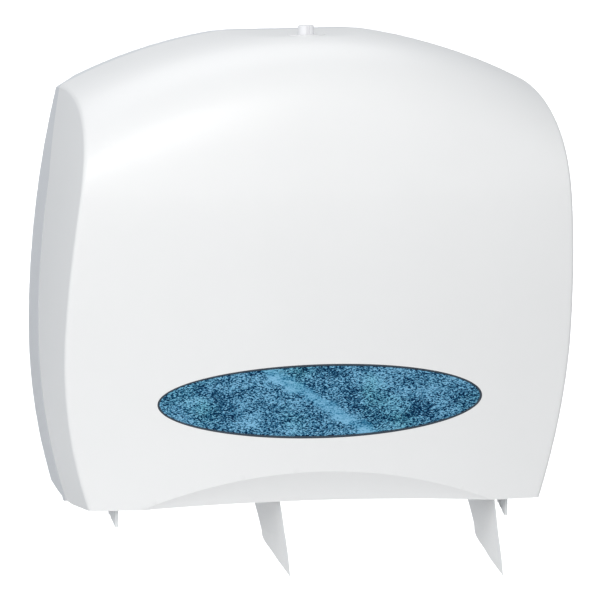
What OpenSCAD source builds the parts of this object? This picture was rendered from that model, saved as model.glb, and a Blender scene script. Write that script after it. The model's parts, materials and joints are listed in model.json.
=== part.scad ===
// Jumbo toilet roll dispenser for wall mounting.
// It holds a large roll on the left and a stub roll on the right, under one
// white cover that swings down on two hinge pins and latches at the top.
//
// Frame: +X to the right seen from the front, +Y into the wall, +Z up.
// The origin is on the wall plane, in the middle of the four wall screws.
// In the functions below h is a height above the cover's bottom edge, and
// a depth is a distance in front of the wall.

/* [Cover] */
// Width at the wall, across the widest line
case_w = 406; // [400:1:420]
// How far each side draws in from the wall to the front
side_draw = 2.5; // [1:0.5:6]
// Height of the dome above the bottom edge
case_h = 363; // [355:1:372]
// Depth at the crest, in the middle
case_d = 146; // [142:1:156]
// Height of the crest above the bottom edge
crest_h = 246; // [235:1:255]
// Depth at the bottom edge, in the middle
foot_d = 108; // [106:1:120]
// How far the front falls back from the middle to a side
crown = 19; // [12:1:22]
// Wall thickness of the mouldings
wall = 3; // [2.4:0.2:3.6]
// Height of the widest line above the bottom edge
belly_h = 135; // [115:1:155]
// Radius of the side outline below the widest line
low_r = 422; // [400:5:520]
// Radius of the front side outline above the widest line
high_r = 1008; // [900:8:1300]
// Radius of the wall side outline above the widest line
rear_high_r = 771; // [700:1:900]
// Radius of the arch over the top
arch_r = 401; // [380:1:430]
// Roundness of the dome in the middle, where 2 is an ellipse
dome_soft = 4; // [3:0.1:4.5]
// Roundness of the dome at the sides
side_soft = 2.4; // [2:0.1:3]
// Height of the flat ledge on the top above the bottom edge
ledge_h = 359.5; // [357:0.5:361]
// Gap between the closed cover and the base
seam = 0.5; // [0.4:0.1:0.8]

/* [Base] */
// Depth of the base's rim at the sides
rim_d = 29; // [27:1:32]
// Depth of the base's rim at the top
rim_top_d = 10; // [9:1:14]
// Height at which the rim reaches its side depth
rim_slope_h = 250; // [230:1:270]
// Rise of the side's bottom edge at the wall
heel_rise = 14; // [12:1:16]
// Depth over which the bottom edge rises
heel_run = 48; // [44:1:54]
// Distance between the wall screws, across
screw_dx = 203.2; // [190:0.2:210]
// Distance between the wall screws, upright
screw_dz = 152.4; // [140:0.2:160]
// Diameter of the wall screw holes
screw_hole_d = 7; // [5:0.5:8]
// Height of the middle of the wall screws above the bottom edge
mount_h = 180; // [175:1:185]

/* [Outlet] */
// Distance from each end of the arch to the case's widest line
arch_in = 63; // [58:1:73]
// Height of the arch in the middle
arch_rise = 27; // [22:1:31]
// How far the lip of the scoop lies behind the front, in the middle
lip_in = 9; // [7:0.5:10]
// Rise of the scoop's lip in the middle
lip_rise = 4; // [3:0.5:5]
// Hollowness of the scoop, where 0 is a flat slope
scoop_hollow = 0.4; // [0:0.05:0.8]
// Distance from the outer tear bars to the case's widest line
tear_in = 48; // [45:1:53]
// Thickness of a tear bar
tear_t = 2.4; // [2:0.2:3]
// Depth of the tear bars
tear_d = 84; // [78:1:86]
// Drop of an outer tear bar's tip below the bottom edge
tear_drop = 15; // [10:1:16]
// Teeth along a tear bar
tear_teeth = 14; // [8:1:18]

/* [Window] */
// Height of the window's middle above the bottom edge
window_h = 82; // [78:1:90]
// Half width of the window
window_a = 129; // [120:1:134]
// Half height of the window
window_b = 29; // [24:1:30]
// Gap round the lens
window_gap = 1; // [0.6:0.1:1.4]
// Thickness of the lens
lens_t = 2.2; // [1.8:0.2:2.6]
// Width of the lens's flange behind the wall
flange_w = 6; // [5:0.5:8]

/* [Rolls] */
// Width of the paper
paper_w = 86; // [80:1:86.5]
// Distance from the wall to the paper
paper_back = 8; // [7.8:0.1:9]
// Diameter of the large roll
main_d = 216; // [180:1:222]
// Gap between the large roll and the case's widest line
roll_side = 17; // [15:0.5:24]
// Gap between the two rolls
roll_gap = 12.7; // [11:0.1:22]
// Gap between the stub roll and the right tear bar
stub_side = 13; // [12:0.5:15]
// Diameter of the stub roll
stub_d = 104; // [92:1:106]
// Inner diameter of the paperboard cores
core_d = 82; // [80:0.5:84]
// Wall of the paperboard cores
core_t = 1.5; // [1:0.1:2]
// Height of the large roll's axis above the bottom edge
main_h = 150; // [148:1:160]
// Length of paper that hangs below the bottom edge at its front
tail_drop = 53; // [40:1:70]
// Distance from the large roll's edge to where its paper hangs
main_tail_in = 58; // [50:1:64]
// Height of the tear across the paper's end
tear_rise = 21; // [15:1:30]
// Thickness of the hanging paper
tail_t = 0.6; // [0.4:0.1:0.8]

/* [Hubs] */
// Diameter of the spindles
spindle_d = 16; // [14:0.5:18]
// Running clearance between hub and spindle, on the radius
run_gap = 0.06; // [0.04:0.01:0.08]
// Spokes in a hub
hub_spokes = 6; // [4:1:8]
// Diameter of a hub's rear flange
hub_flange_d = 96; // [94:1:100]
// Diameter of a spindle's foot
foot_flange_d = 56; // [50:1:60]

/* [Latch] */
// Distance of the button from the wall
button_y = 66; // [62:1:68]
// Diameter of the button's head
button_d = 12.4; // [11:0.2:13]
// Height of the button above the ledge
button_up = 7.4; // [6:0.2:9]
// Width of the groove down the front of the button's head
groove_w = 2.6; // [2:0.2:3.2]
// Travel of the button
button_travel = 4; // [3.4:0.1:4.2]
// Diameter of the collar round the button
collar_d = 29; // [26:1:32]
// Turns of the button's spring
spring_turns = 5; // [4:0.5:6]

/* [Hinge] */
// Distance of the hinge axis from the wall
hinge_y = 18; // [17:0.5:19]
// Height of the hinge axis above the bottom edge
hinge_h = 5; // [4.5:0.1:5.2]
// Distance from the hinge arms to the case's widest line
hinge_in = 33; // [33:1:37]
// Diameter of the hinge pins
pin_d = 5; // [4:0.2:5.4]
// Thickness of a hinge arm
arm_t = 4; // [3:0.5:4.5]

/* [Hidden] */

cols = 28;          // strips across the front of the dome
low_rows = 10;      // strips from the bottom edge up to the crest
top_rows = 12;      // strips from the crest over the dome
fine = 96;          // facets of a large circle
mid = 48;           // facets of a small circle
over = 1;           // how far a cut runs past what it cuts
far = 200;          // longer than the part is deep
low_cut = 14;       // how far the inside runs below the bottom edge
crest_soft = 1.38;  // shape of the front just below the crest
foot_soft = 1.94;   // shape of the front near its foot
touch_gap = 0.3;    // gap between pieces on different bodies
seat_gap = 0.05;    // gap between a screw and its hole, on the radius

front_w = case_w - 2 * side_draw;           // width at the front
arch_half_w = case_w / 2 - arch_in;
tear_x = case_w / 2 - tear_in;
hinge_x = case_w / 2 - hinge_in;
stub_x = tear_x - stub_side - stub_d / 2;
main_x = roll_side + main_d / 2 - case_w / 2;

// The stub roll stands high enough beside the large roll to leave the gap between them
axis_gap = (main_d + stub_d) / 2 + roll_gap;
stub_h = main_h + sqrt(max(0, pow(axis_gap, 2) - pow(stub_x - main_x, 2)));

screw_r = 2;
screw_head_r = 3.8;
screw_head_t = 2.2;
boss_t = 0.6;
plate_y = wall;                             // front of the back plate
foot_t = 4;                                 // thickness of a spindle's foot
foot_pcd = foot_flange_d - 14;
cap_t = 4;
cap_screw = 12;                             // how far a retainer's screw goes in
cap_r = 17;
hub_t = 2.4;
hub_r = core_d / 2 - seat_gap;
hub_bore_r = spindle_d / 2 + run_gap;
hub_tube_r = hub_bore_r + 4;
hub_back = plate_y + 2;                     // behind the flange
hub_web = plate_y + foot_t + screw_head_t + 1;
core_r = core_d / 2 + core_t;
spindle_end = paper_back + paper_w - 2 * cap_t;
hub_front = spindle_end - touch_gap;
heel_r = (heel_run * heel_run + heel_rise * heel_rise) / (2 * heel_rise);
ear_t = 5.6;
ear_r = 5;
arm_gap = 0.4;
bar_top = 20;                               // height of the tear bars
bar_foot_w = 13;                            // width of a tear bar's foot
bar_foot_t = 2;
bar_screw_in = 7.5;                         // from a bar to its screws
bar_screw_dz = 9;
rib_pitch = 7;                              // between the ribs of an outer bar
rib_t = 2;                                  // ribs of the back plate
rib_up = 3;
rib_low = 40;                               // heights between which they run
rib_high = case_h - 73;
rib_in = 53;                                // from the outer ones to the widest line
tail_gap = 0.5;                             // between the paper and what it hangs by
tail_edge = 1;                              // the tail is this much narrower
ledge_inner_h = ledge_h - wall;
stem_d = button_d - 4.4;                    // the button below its head
groove_deep = 2.4;
clip_t = 1;
clip_r = 8;
collar_t = 1.6;
collar_sink = 1.2;
barrel_r = button_d / 2 + 3;
barrel_bottom = ledge_inner_h - 4.5;
button_foot = barrel_bottom - 12.5;
shelf_t = 1.2;
shelf_top = button_foot + 2.7;
spring_wire_r = 0.45;
spring_r = stem_d / 2 + 1;
tongue_top = button_foot - 0.5;
tongue_t = 2;
tongue_w = 24;
tongue_past = 7;                            // how far the tongue runs past the button's axis
barb_up = button_travel + 0.2;
catch_y = 52;
catch_t = 2;
catch_bottom = tongue_top + 2.5;
bracket_w = 36;
bracket_half = 23;                          // half width of the button's bracket
bracket_deep = 6;
bracket_screw_x = 18;
catch_screw_x = 9;
latch_screw_x = 10;
boss_drop = 1.4;
bracket_y = 16;

// Place of a height above the bottom edge
function z(h) = h - mount_h;

// How far a circle of radius r has dropped at distance x from its top
function sag(r, x) = r - sqrt(r * r - x * x);

// Half width of the cover's outline at height h, at the wall and at the front
function rear_half(h) = case_w / 2 - sag(h < belly_h ? low_r : rear_high_r, h - belly_h);
function front_half(h) = front_w / 2 - sag(h < belly_h ? low_r : high_r, h - belly_h);

// Height of the dome over x, and how far the front falls back there
function apex(x) = case_h - sag(arch_r, x);
function fall(x) = crown * pow(2 * x / front_w, 2);

// Roundness of the dome over x
function soft(x) = side_soft + (dome_soft - side_soft) * max(0, 1 - pow(2 * x / front_w, 2));

// Depth of the front in the middle at height h, from the bottom edge to the crest
function front_depth(h) =
    let (u = min(1, (crest_h - h) / crest_h))
    foot_d + (case_d - foot_d) * pow(1 - pow(u, crest_soft), foot_soft);

// Depth of the front at x and height h, below the crest
function depth_at(x, h) = front_depth(h) - fall(x);

// Depth and height of a point of the dome over x, inset from the surface, where a
// runs from 0 at the crest to 90 at the top
function dome_point(x, a, inset) =
    let (p = 2 / soft(x))
    [(case_d - fall(x) - inset) * pow(cos(a), p),
     crest_h + (apex(x) - inset - crest_h) * pow(sin(a), p)];

// Height of the underside of the base and the cover, which rises towards the wall
function heel_h(y) = y < heel_run ? sag(heel_r, heel_run - y) : 0;

// One upright section of the solid inside the front, as depth and height
function section(x, inset, drop) = concat(
    [[0, -drop]],
    [for (j = [(drop > 0 ? -1 : 0) : low_rows - 1])
        let (h = j < 0 ? -drop : crest_h * j / low_rows)
        [depth_at(x, max(h, 0)) - inset, h]],
    [for (j = [0 : top_rows]) dome_point(x, 90 * j / top_rows, inset)]
);

// Solid behind the crowned front and under the dome
module dome_body(inset = 0, drop = 0, half = case_w / 2 + 3, n = cols) {
    rows = len(section(0, inset, drop));
    points = [
        for (i = [0 : n])
            let (x = -half + 2 * half * i / n)
            for (p = section(x, inset, drop)) [x, -p[0], z(p[1])]
    ];
    skin = [
        for (i = [0 : n - 1], j = [0 : rows - 1])
            let (a = i * rows + j, b = i * rows + (j + 1) % rows, c = b + rows, d = a + rows)
            each [[a, b, c], [a, c, d]]
    ];
    left_end = [for (j = [rows - 1 : -1 : 0]) j];
    right_end = [for (j = [0 : rows - 1]) n * rows + j];
    polyhedron(points, concat(skin, [left_end, right_end]));
}

// Outline of the sides from below the bottom edge to above the dome
function side_outline(front, inset, drop) =
    let (
        heights = concat(drop > 0 ? [-drop] : [], [for (j = [0 : 12]) (case_h + 4) * j / 12]),
        half = [for (h = heights)
            (front ? front_half(max(h, 0)) : rear_half(max(h, 0))) - inset]
    )
    concat(
        [for (k = [0 : len(heights) - 1]) [half[k], heights[k]]],
        [for (k = [len(heights) - 1 : -1 : 0]) [-half[k], heights[k]]]
    );

// Solid between the two side walls, which draw in towards the front
module side_body(inset = 0, drop = 0) {
    rear = side_outline(false, inset, drop);
    front = side_outline(true, inset, drop);
    n = len(rear);
    points = concat(
        [for (p = rear) [p[0], over, z(p[1])]],
        [for (p = front) [p[0], -case_d - over, z(p[1])]]
    );
    walls = [
        for (k = [0 : n - 1])
            let (m = (k + 1) % n)
            each [[k, m + n, m], [k, k + n, m + n]]
    ];
    polyhedron(points, concat(
        walls,
        [[for (k = [0 : n - 1]) k], [for (k = [n - 1 : -1 : 0]) k + n]]
    ));
}

// Everything in front of the line where the cover meets the base
module cover_zone(gap) {
    back = rim_d + gap;
    top_back = rim_top_d + gap;
    rotate([90, 0, -90])
        translate([0, 0, -far * 1.5])
            linear_extrude(3 * far)
                polygon([
                    [back, z(-far)], [2 * far, z(-far)], [2 * far, z(case_h + 2 * over)],
                    [top_back, z(case_h + 2 * over)], [top_back, z(apex(front_w / 2 - 20))],
                    [back, z(rim_slope_h)]
                ]);
}

// What the rising underside at the wall takes away
module heel_cut() {
    steps = 10;
    rotate([90, 0, -90])
        translate([0, 0, -far * 1.5])
            linear_extrude(3 * far)
                polygon(concat(
                    [for (k = [0 : steps]) let (y = heel_run * k / steps) [y, z(heel_h(y))]],
                    [[heel_run, z(-2 * low_cut)], [-over, z(-2 * low_cut)], [-over, z(heel_rise)]]
                ));
}

// Depth of the scoop's lip at x, where s runs from 1 in the middle to 0 at the ends
function lip_depth(x, s) = depth_at(x, arch_rise * max(s, 0)) - lip_in * s;

// Space in front of the lip and under the arch. thick moves its hidden side inwards
module scoop_space(thick = 0) {
    steps = 22;
    bends = 6;
    half = arch_half_w + 12;
    low = -2 * low_cut;
    under = thick > 0 ? 0 : wall + 2;
    points = [
        for (i = [0 : steps])
            let (
                x = -half + 2 * half * i / steps,
                s = 1 - pow(x / arch_half_w, 2),
                lip = lip_depth(x, s) - thick,
                foot = lip_rise * s,
                run = lip_in * max(s, 0.05),
                rise = (arch_rise - lip_rise) * s + thick
            )
            for (p = concat(
                [[lip - under - 0.5, low], [lip - under - 0.5, foot - thick], [lip, foot]],
                [for (k = [1 : bends]) let (t = k / bends)
                    [lip + run * t * (1 - scoop_hollow * (1 - t)), foot + rise * t]],
                [[case_d + over, foot + rise], [case_d + over, low]]
            )) [x, -p[0], z(p[1])]
    ];
    rows = bends + 5;
    skin = [
        for (i = [0 : steps - 1], j = [0 : rows - 1])
            let (a = i * rows + j, b = i * rows + (j + 1) % rows)
            each [[a, b + rows, b], [a, a + rows, b + rows]]
    ];
    polyhedron(points, concat(
        skin,
        [[for (j = [0 : rows - 1]) j], [for (j = [rows - 1 : -1 : 0]) steps * rows + j]]
    ));
}

// Outline of the window, grown by a margin
module window_prism(grow = 0) {
    n = 64;
    translate([0, -foot_d + crown + 30, z(window_h)])
        rotate([90, 0, 0])
            linear_extrude(far)
                polygon([for (k = [0 : n - 1])
                    [(window_a + grow) * cos(360 * k / n), (window_b + grow) * sin(360 * k / n)]]);
}

// Part of the front between two depths below its surface, inside the window's outline
module window_slice(from, to, grow) {
    intersection() {
        difference() {
            dome_body(from, low_cut, case_w / 2, 16);
            dome_body(to, low_cut + over, case_w / 2 + over, 16);
        }
        window_prism(grow);
    }
}

// Round bar along Y from one depth to another
module bar_y(r, from, to, facets = mid) {
    translate([0, -from, 0])
        rotate([90, 0, 0])
            cylinder(r = r, h = to - from, $fn = facets);
}

// Pan head screw whose head sits on the origin's plane and whose shank runs into +Y
module screw_y(length) {
    bar_y(screw_head_r, 0, screw_head_t, 32);
    bar_y(screw_r, -length, 0, 24);
}

// Outline of the base in the wall plane, from a bottom height up
function base_outline(inset, bottom) =
    let (
        side_top = case_h - 45,
        side = [for (k = [0 : 14]) let (h = bottom + (side_top - bottom) * k / 14)
            [rear_half(h) - inset, h]],
        span = rear_half(side_top) - inset,
        arch = [for (k = [1 : 23]) let (x = span * (1 - 2 * k / 24))
            [x, min(apex(x), ledge_h) - inset]]
    )
    concat(side, arch, [for (k = [14 : -1 : 0]) [-side[k][0], side[k][1]]]);

module base_prism(inset, bottom, from, to) {
    translate([0, -from, z(0)])
        rotate([90, 0, 0])
            linear_extrude(to - from)
                polygon(base_outline(inset, bottom));
}

// Where the four wall screws go
module at_wall_screws() {
    for (sx = [-1, 1], sz = [-1, 1])
        translate([sx * screw_dx / 2, 0, sz * screw_dz / 2])
            children();
}

// The two roll axes
module at_rolls() {
    translate([main_x, 0, z(main_h)])
        children();
    translate([stub_x, 0, z(stub_h)])
        children();
}

// Screws on a roll's foot
module at_foot_screws() {
    for (a = [90, 210, 330])
        rotate([0, a, 0])
            translate([foot_pcd / 2, 0, 0])
                children();
}

// One ear of the base, with the hole that holds a hinge pin
module ear(x) {
    translate([x, 0, 0])
        rotate([90, 0, 90])
            linear_extrude(ear_t)
                difference() {
                    union() {
                        translate([-hinge_y, z(hinge_h)])
                            circle(ear_r, $fn = mid);
                        polygon([
                            [-plate_y + over, z(hinge_h + ear_r + 16)],
                            [-plate_y + over, z(heel_rise)],
                            [-hinge_y, z(hinge_h - 0.9 * ear_r)],
                            [-hinge_y - 0.9 * ear_r * cos(30), z(hinge_h + 0.9 * ear_r * sin(30))]
                        ]);
                    }
                    translate([-hinge_y, z(hinge_h)])
                        circle(pin_d / 2, $fn = mid);
                }
}

module back_plate() {
    color("whitesmoke")
    difference() {
        union() {
            base_prism(0, heel_rise, 0, plate_y);
            // rim, open at the bottom and cut back along the line where the cover starts
            difference() {
                base_prism(0, 0, 0, rim_d);
                base_prism(wall, -over, plate_y - over, rim_d + over);
                cover_zone(0);
                heel_cut();
            }
            // raised rings round the wall screws
            at_wall_screws() bar_y(8, plate_y - over, plate_y + boss_t);
            for (s = [-1, 1]) {
                ear(s * (hinge_x + arm_t + arm_gap) - (s < 0 ? ear_t : 0));
                ear(s * (hinge_x - arm_gap) - (s < 0 ? 0 : ear_t));
            }
            stiffening_ribs();
        }
        at_wall_screws() bar_y(screw_hole_d / 2, -over, plate_y + boss_t + over);
        at_rolls() at_foot_screws() bar_y(screw_r + seat_gap, -over, plate_y + over, 24);
        at_bar_screws() bar_y(screw_r + seat_gap, -over, plate_y + over, 24);
        at_latch_screws() bar_y(screw_r + seat_gap, -over, plate_y + over, 24);
    }
}

// Upright and cross ribs that stiffen the back plate between the rolls
module stiffening_ribs() {
    span = case_w / 2 - rib_in;
    for (x = [-span, -10, 30, span])
        translate([x - rib_t / 2, -plate_y - rib_up, z(rib_low)])
            cube([rib_t, rib_up + over, rib_high - rib_low]);
    for (h = [rib_low + 20, rib_high])
        translate([-span, -plate_y - rib_up, z(h)])
            cube([2 * span, rib_up + over, rib_t]);
}

// ---- roll supports ----

module spindle() {
    difference() {
        union() {
            bar_y(foot_flange_d / 2, plate_y, plate_y + foot_t, fine);
            bar_y(spindle_d / 2 + 3, plate_y + foot_t - over, hub_web - 0.5);
            bar_y(spindle_d / 2, plate_y + foot_t - over, spindle_end);
        }
        bar_y(screw_r + seat_gap, spindle_end - cap_screw - 4, spindle_end + over, 24);
        at_foot_screws() bar_y(screw_r + seat_gap, plate_y - over, plate_y + foot_t + over, 24);
    }
}

module main_spindle() {
    color("gainsboro") translate([main_x, 0, z(main_h)]) spindle();
}

module stub_spindle() {
    color("gainsboro") translate([stub_x, 0, z(stub_h)]) spindle();
}

module spindle_screws() {
    color("silver")
    at_rolls() at_foot_screws()
        translate([0, -plate_y - foot_t, 0]) screw_y(foot_t + plate_y - 0.5);
}

module retainer() {
    difference() {
        union() {
            bar_y(cap_r, spindle_end, spindle_end + cap_t - 1, fine);
            bar_y(cap_r - 2, spindle_end + cap_t - 1 - over, spindle_end + cap_t, fine);
        }
        bar_y(screw_r + seat_gap, spindle_end - over, spindle_end + cap_t + over, 24);
        for (a = [0 : 60 : 300])
            rotate([0, a, 0])
                translate([cap_r, 0, 0])
                    bar_y(2, spindle_end - over, spindle_end + cap_t + over, 24);
    }
}

module main_retainer() {
    color("dimgray") translate([main_x, 0, z(main_h)]) retainer();
}

module stub_retainer() {
    color("dimgray") translate([stub_x, 0, z(stub_h)]) retainer();
}

module retainer_screws() {
    color("silver")
    at_rolls() translate([0, -spindle_end - cap_t, 0]) screw_y(cap_t + cap_screw);
}

// Spoked hub that fills the core. Its flange guides the paper, and its web stands
// in front of the spindle's foot
module hub() {
    difference() {
        union() {
            bar_y(hub_tube_r, hub_web, hub_front);
            bar_y(hub_r - hub_t / 2, hub_web, hub_web + hub_t, fine);
            difference() {
                union() {
                    bar_y(hub_flange_d / 2, hub_back, hub_back + hub_t, fine);
                    bar_y(hub_r, hub_back, hub_front - 6, fine);
                }
                bar_y(hub_r - hub_t, hub_back - over, hub_front, fine);
            }
            for (k = [0 : hub_spokes - 1])
                rotate([0, 360 * k / hub_spokes, 0])
                    translate([hub_bore_r + 2, -hub_front + 10, -hub_t / 2])
                        cube([hub_r - hub_bore_r - 3, hub_front - 10 - hub_web - hub_t / 2, hub_t]);
        }
        bar_y(hub_bore_r, hub_web - over, hub_front + over, fine);
        // lightening holes between the spokes
        for (k = [0 : hub_spokes - 1])
            rotate([0, 360 * (k + 0.5) / hub_spokes, 0])
                translate([(hub_tube_r + hub_r) / 2, 0, 0])
                    bar_y(7, hub_web - over, hub_web + hub_t + over);
    }
}

module main_hub() {
    color("lightsteelblue") translate([main_x, 0, z(main_h)]) hub();
}

module stub_hub() {
    color("lightsteelblue") translate([stub_x, 0, z(stub_h)]) hub();
}

// Ring along Y between two radii
module ring_y(inner, outer, from, to) {
    difference() {
        bar_y(outer, from, to, fine);
        bar_y(inner, from - over, to + over, fine);
    }
}

module main_core() {
    color("tan") translate([main_x, 0, z(main_h)])
        ring_y(core_d / 2, core_r, paper_back, paper_back + paper_w);
}

module stub_core() {
    color("tan") translate([stub_x, 0, z(stub_h)])
        ring_y(core_d / 2, core_r, paper_back, paper_back + paper_w);
}

module main_roll() {
    color("white") translate([main_x, 0, z(main_h)])
        ring_y(core_r, main_d / 2, paper_back, paper_back + paper_w);
}

module stub_roll() {
    color("white") translate([stub_x, 0, z(stub_h)])
        ring_y(core_r, stub_d / 2, paper_back, paper_back + paper_w);
}

// Route of a tail, as x and h, from its roll's right side past the edge at x, edge_h
// to its end. It leaves the roll along a tangent
function tail_route(cx, ch, r, x, edge_h) =
    let (
        dx = x - cx,
        dh = edge_h - ch,
        dist = sqrt(dx * dx + dh * dh),
        a = atan2(dh, dx) + acos(r / dist)
    )
    [
        [cx + r * cos(a), ch + r * sin(a)],
        [x, edge_h],
        [x, 1.5],
        [x + 4.5, -tail_drop * 0.45],
        [x + 8, -tail_drop]
    ];

// Paper that hangs from a roll to its torn end, longest at the front
module tail(cx, ch, r, x, edge_h) {
    route = tail_route(cx, ch, r, x, edge_h);
    n = len(route);
    half = tail_t / 2;
    difference() {
        translate([0, -paper_back - tail_edge / 2, z(0)])
            rotate([90, 0, 0])
                linear_extrude(paper_w - tail_edge)
                    polygon(concat(
                        [for (p = route) [p[0] - half, p[1]]],
                        [for (k = [n - 1 : -1 : 0]) [route[k][0] + half, route[k][1]]]
                    ));
        translate([x - far / 2, 0, z(-tail_drop)])
            rotate([90, 0, 90])
                linear_extrude(far)
                    polygon([
                        [over, -over], [-paper_back - paper_w, -over],
                        [-paper_back - paper_w + tail_edge, 0],
                        [-paper_back - paper_w / 2, tear_rise * 0.52],
                        [-paper_back, tear_rise], [over, tear_rise]
                    ]);
    }
}

main_tail_x = main_x + main_d / 2 - main_tail_in;
stub_tail_x = stub_x + stub_d / 2 + tail_gap;
middle_bar_x = main_tail_x + tail_t / 2 + tail_gap;

module main_tail() {
    color("white") tail(main_x, main_h, main_d / 2 + tail_gap, main_tail_x, bar_top + tail_gap);
}

module stub_tail() {
    color("white") tail(stub_x, stub_h, stub_d / 2 + tail_gap, stub_tail_x, bar_top);
}

// ---- tear bars ----

// Serrated blade along the side of an outlet. tip is how far its front dips
module tear_blade(tip) {
    rear = plate_y + 1.6;
    root_h = 4;
    run = tear_d - rear;
    function edge_h(t) = root_h - (tip + root_h) * pow(t, 2.2);
    edge = [
        for (k = [0 : tear_teeth - 1])
            let (t = k / tear_teeth, m = (k + 0.5) / tear_teeth)
            each [[-rear - run * t, edge_h(t) + 1.6], [-rear - run * m, edge_h(m)]]
    ];
    rotate([90, 0, 90])
        translate([0, 0, -tear_t / 2])
            linear_extrude(tear_t)
                translate([0, z(0)])
                    polygon(concat(
                        edge,
                        [[-tear_d, -tip + 1], [-tear_d, bar_top - 4], [-tear_d + 6, bar_top],
                         [-rear, bar_top]]
                    ));
}

// Foot that carries a blade on the back plate
module tear_foot(side) {
    low = bar_top - 5;
    difference() {
        translate([side > 0 ? -tear_t / 2 : tear_t / 2 - bar_foot_w, -plate_y - bar_foot_t, z(low)])
            cube([bar_foot_w, bar_foot_t, bar_screw_dz + 10]);
        at_bar_holes(side)
            bar_y(screw_r + seat_gap, plate_y - over, plate_y + bar_foot_t + over, 24);
    }
}

module at_bar_holes(side) {
    for (h = [bar_top, bar_top + bar_screw_dz])
        translate([side * bar_screw_in, 0, z(h)])
            children();
}

// Ribs down the outer face of an outer bar's tip
module tear_ribs(side) {
    for (k = [0 : 3])
        translate([side * tear_t / 2 - 0.5, -tear_d + 3 + rib_pitch * k, z(-tear_drop + 3 + 3 * k)])
            cube([1, 2, bar_top + tear_drop - 10 - 3 * k]);
}

module tear_bar_left() {
    color("white") translate([-tear_x, 0, 0]) {
        tear_blade(tear_drop);
        tear_foot(1);
        tear_ribs(-1);
    }
}

module tear_bar_right() {
    color("white") translate([tear_x, 0, 0]) {
        tear_blade(tear_drop);
        tear_foot(-1);
        tear_ribs(-1);
    }
}

module tear_bar_middle() {
    color("white") translate([middle_bar_x + tear_t / 2, 0, 0]) {
        tear_blade(-2);
        tear_foot(1);
    }
}

module at_bar_screws() {
    translate([-tear_x, 0, 0])
        at_bar_holes(1) children();
    translate([tear_x, 0, 0])
        at_bar_holes(-1) children();
    translate([middle_bar_x + tear_t / 2, 0, 0])
        at_bar_holes(1) children();
}

module tear_bar_screws() {
    color("silver")
    at_bar_screws() translate([0, -plate_y - bar_foot_t, 0]) screw_y(plate_y + bar_foot_t - 0.5);
}

// ---- latch on the base ----

module at_latch_screws() {
    for (s = [-1, 1])
        translate([s * latch_screw_x, 0, z(tongue_top - 13)])
            children();
}

module latch_bracket() {
    top = tongue_top - tongue_t;
    back = plate_y + tongue_t;
    color("whitesmoke")
    difference() {
        union() {
            translate([-bracket_w / 2, -back - 3, z(top - 20)])
                cube([bracket_w, 3, 20]);
            translate([-bracket_w / 2, -bracket_y, z(top - 3)])
                cube([bracket_w, bracket_y - back, 3]);
            for (s = [-1, 1])
                translate([s * (bracket_w / 2 - 1.5) - 1.5, 0, z(top)])
                    rotate([90, 0, 90])
                        linear_extrude(3)
                            polygon([[-back, -20], [-back, 0], [-bracket_y, 0], [-bracket_y, -3]]);
        }
        at_latch_screws() bar_y(screw_r + seat_gap, plate_y, back + 3 + over, 24);
    }
}

module latch_screws() {
    color("silver")
    at_latch_screws()
        translate([0, -plate_y - tongue_t - 3, 0])
            screw_y(plate_y + tongue_t + 2.5);
}

// Springy tongue, clamped behind the bracket, with the barb that holds the catch plate
module latch_tongue() {
    end_y = button_y + tongue_past;
    barb_y = catch_y + catch_t + 0.4;
    color("lightgray")
    difference() {
        union() {
            translate([-tongue_w / 2, 0, z(tongue_top)])
                rotate([90, 0, 90])
                    linear_extrude(tongue_w)
                        polygon([
                            [-plate_y, -tongue_t], [-end_y, -tongue_t], [-end_y, 0],
                            [-barb_y - 4, 0], [-barb_y - 1, barb_up], [-barb_y, barb_up],
                            [-barb_y, 0], [-plate_y, 0]
                        ]);
            translate([-bracket_w / 2, -plate_y - tongue_t, z(tongue_top - tongue_t - 20)])
                cube([bracket_w, tongue_t, 20 + tongue_t]);
        }
        at_latch_screws() bar_y(screw_r + seat_gap, 0, plate_y + tongue_t + over, 24);
    }
}

// ---- hinge ----

pin_from = hinge_x - arm_gap - ear_t;
pin_to = rear_half(hinge_h) - wall - touch_gap;

module hinge_pin() {
    translate([pin_from, -hinge_y, z(hinge_h)])
        rotate([0, 90, 0]) {
            cylinder(d = pin_d, h = pin_to - pin_from, $fn = mid);
            translate([0, 0, -1.6])
                cylinder(d = pin_d + 2, h = 1.6, $fn = mid);
        }
}

module hinge_pin_right() {
    color("silver") hinge_pin();
}

module hinge_pin_left() {
    color("silver") mirror([1, 0, 0]) hinge_pin();
}

pad_from = 44;      // depth range of the pad where an arm is screwed to the cover
pad_to = 76;
pad_low = 5;
pad_high = 34;

module at_arm_screws() {
    for (y = [pad_from + 8, pad_to - 8])
        translate([hinge_x, -y, z((pad_low + pad_high) / 2)])
            children();
}

module hinge_arm() {
    difference() {
        union() {
            translate([hinge_x, -hinge_y, z(hinge_h)])
                rotate([0, 90, 0])
                    cylinder(r = ear_r, h = arm_t, $fn = mid);
            translate([hinge_x, 0, 0])
                rotate([90, 0, 90])
                    linear_extrude(arm_t)
                        polygon([
                            [-hinge_y - 1, z(hinge_h - 0.9 * ear_r)], [-pad_from, z(pad_low)],
                            [-pad_to, z(pad_low)], [-pad_to, z(pad_high)],
                            [-pad_from, z(pad_high)], [-hinge_y - 1, z(hinge_h + 0.9 * ear_r)]
                        ]);
        }
        translate([hinge_x - over, -hinge_y, z(hinge_h)])
            rotate([0, 90, 0])
                cylinder(r = pin_d / 2 + run_gap, h = arm_t + 2 * over, $fn = mid);
        at_arm_screws()
            translate([-over, 0, 0])
                rotate([0, 90, 0])
                    cylinder(r = screw_r + seat_gap, h = arm_t + 2 * over, $fn = 24);
    }
}

module hinge_arm_right() {
    color("gainsboro") hinge_arm();
}

module hinge_arm_left() {
    color("gainsboro") mirror([1, 0, 0]) hinge_arm();
}

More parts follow.
